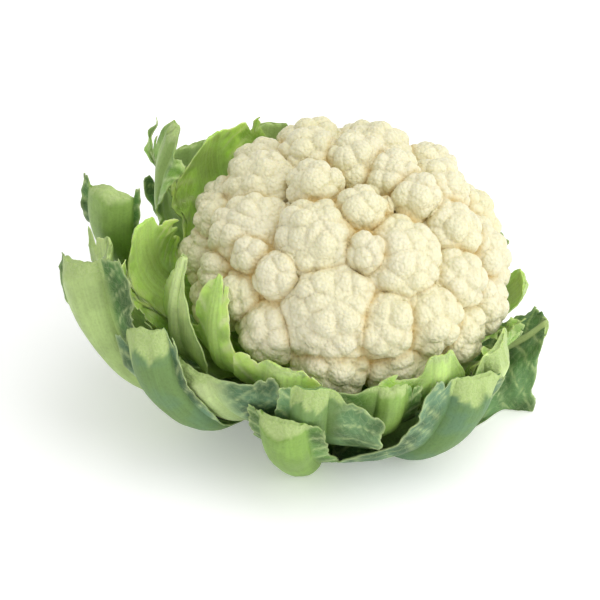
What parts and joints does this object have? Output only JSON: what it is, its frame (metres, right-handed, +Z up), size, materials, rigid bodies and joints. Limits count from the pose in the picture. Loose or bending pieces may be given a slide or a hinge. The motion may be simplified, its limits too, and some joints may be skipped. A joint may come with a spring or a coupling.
{
  "type": "cauliflower",
  "caption": "Whole trimmed cauliflower: a domed white curd of clumped florets on a short cut stem, cupped by overlapping cut green leaves; it lies tilted on the level butt of its stem.",
  "frame": {"origin": "centre of the stem's level cut butt, on the surface that the cauliflower rests on", "axes": "+Z up, -Y towards the viewer of the picture, +X to the viewer's right, along the part's longest extent"},
  "size_m": [0.2364, 0.2093, 0.137],
  "materials": {
    "curd": "matt, finely grained living plant tissue",
    "stem": "satin, moist plant tissue",
    "leaf_outer": "satin, waxy leaf",
    "leaf_middle": "satin leaf",
    "leaf_young": "satin, tender leaf"
  },
  "bodies": {
    "root": {"curd": "curd", "stem": "stem", "leaf_young_front_left": "leaf_young", "leaf_young_front": "leaf_young", "leaf_crinkled_front": "leaf_young", "leaf_young_right": "leaf_young", "leaf_young_back": "leaf_young", "leaf_young_back_left": "leaf_young", "leaf_young_left": "leaf_young", "leaf_pointed_left": "leaf_middle", "leaf_long_back_left": "leaf_middle", "leaf_dark_front": "leaf_outer", "leaf_angled_right": "leaf_middle", "leaf_low_back_right": "leaf_outer", "leaf_wide_back": "leaf_outer", "leaf_stub_left": "leaf_middle", "leaf_upright_left": "leaf_outer", "leaf_cup_front_left": "leaf_outer", "leaf_folded_front": "leaf_middle", "leaf_cut_right": "leaf_outer", "leaf_outer_back": "leaf_outer", "leaf_outer_back_left": "leaf_outer", "leaf_far_left": "leaf_outer", "leaf_cut_front_left": "leaf_outer", "leaf_upright_front": "leaf_outer", "leaf_swept_front": "leaf_outer"}
  },
  "joints": []
}
